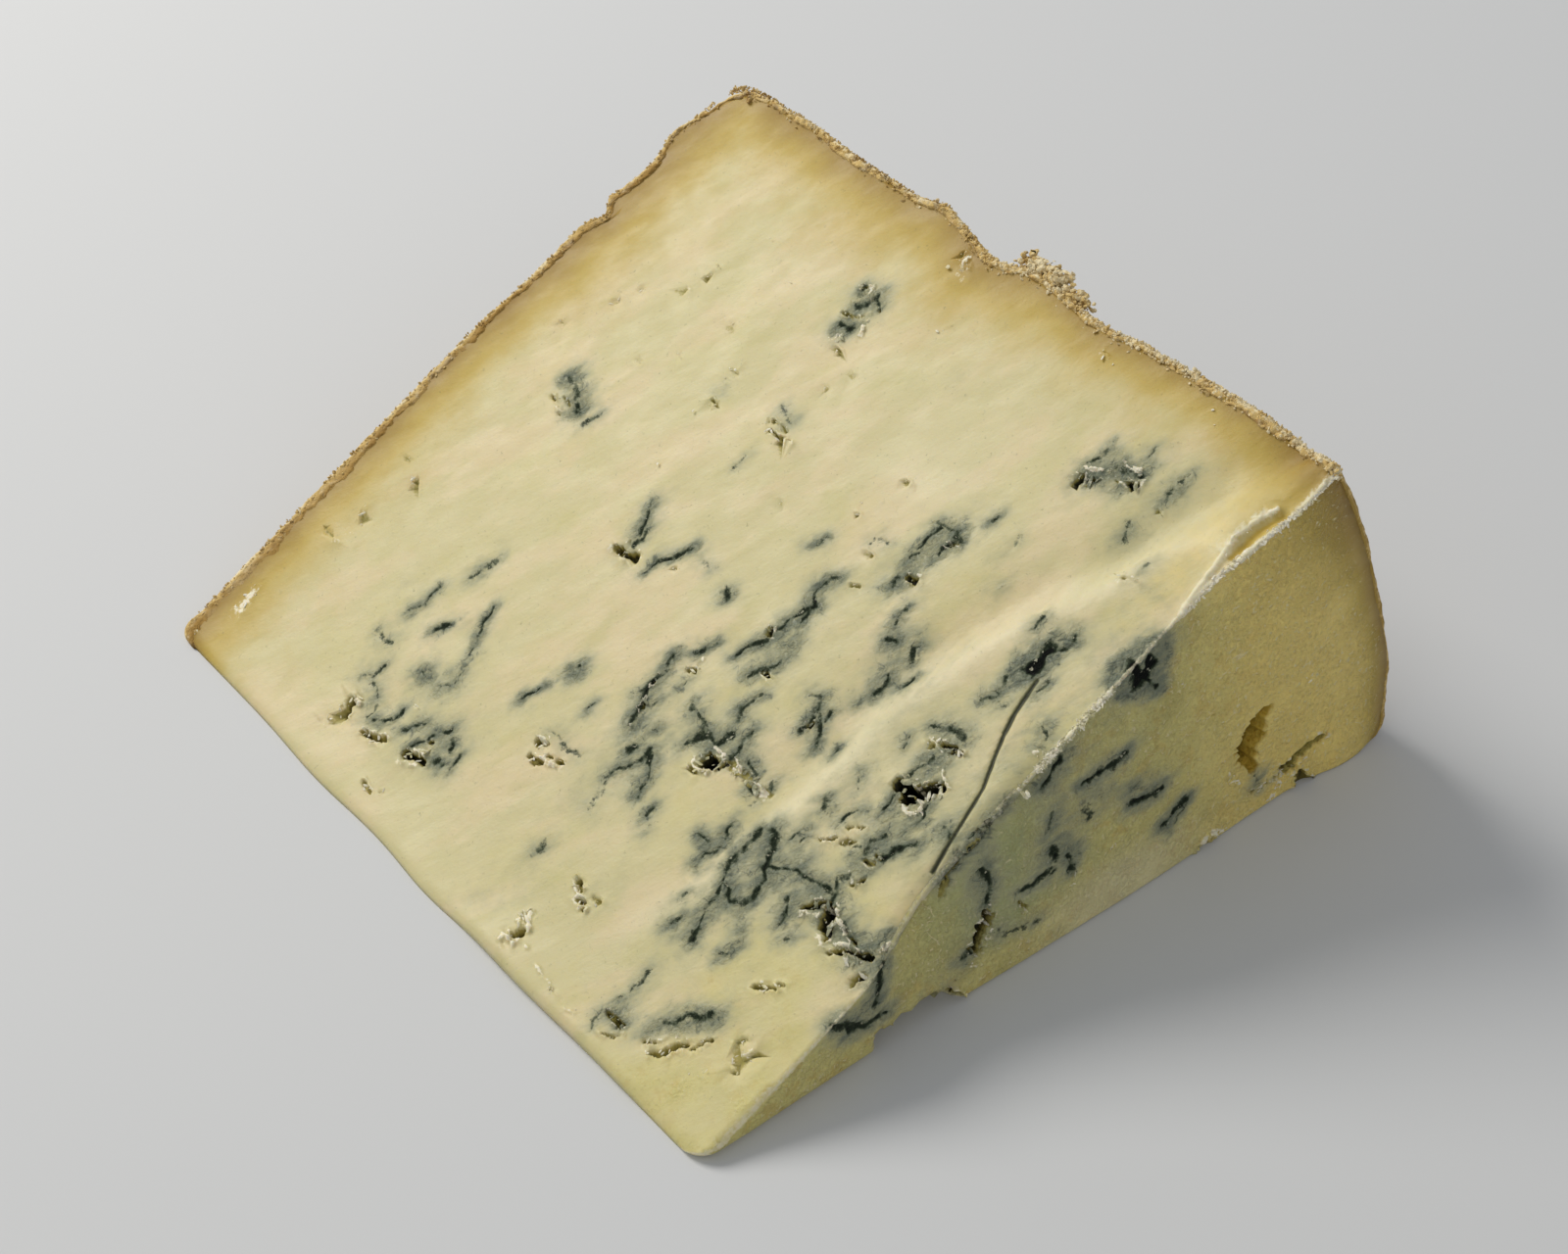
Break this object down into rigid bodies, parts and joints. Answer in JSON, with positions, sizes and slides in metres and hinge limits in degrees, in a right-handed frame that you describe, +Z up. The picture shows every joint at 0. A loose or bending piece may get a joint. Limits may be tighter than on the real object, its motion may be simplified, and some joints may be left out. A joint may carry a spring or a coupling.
{
  "type": "blue cheese wedge",
  "caption": "Wedge of natural-rind blue cheese cut from a small wheel, lying on one long cut face, with mould veins, torn pits and a dry crumbly rind.",
  "frame": {"origin": "on the resting surface, under the middle of the wedge's bounding box", "axes": "+Z up from the surface it lies on, +X from the thin tip edge to the round rind, +Y along the wheel's axis from the fan-shaped cut face to the flat rind"},
  "size_m": [0.1006, 0.1106, 0.0458],
  "materials": {
    "paste": "satin, moist and slightly waxy cut paste with dark green-blue mould veins",
    "rind": "matte, dry, knobbly natural rind, tan to ochre brown with pale bloom"
  },
  "bodies": {
    "root": {"cheese_wedge": "paste"}
  },
  "joints": []
}
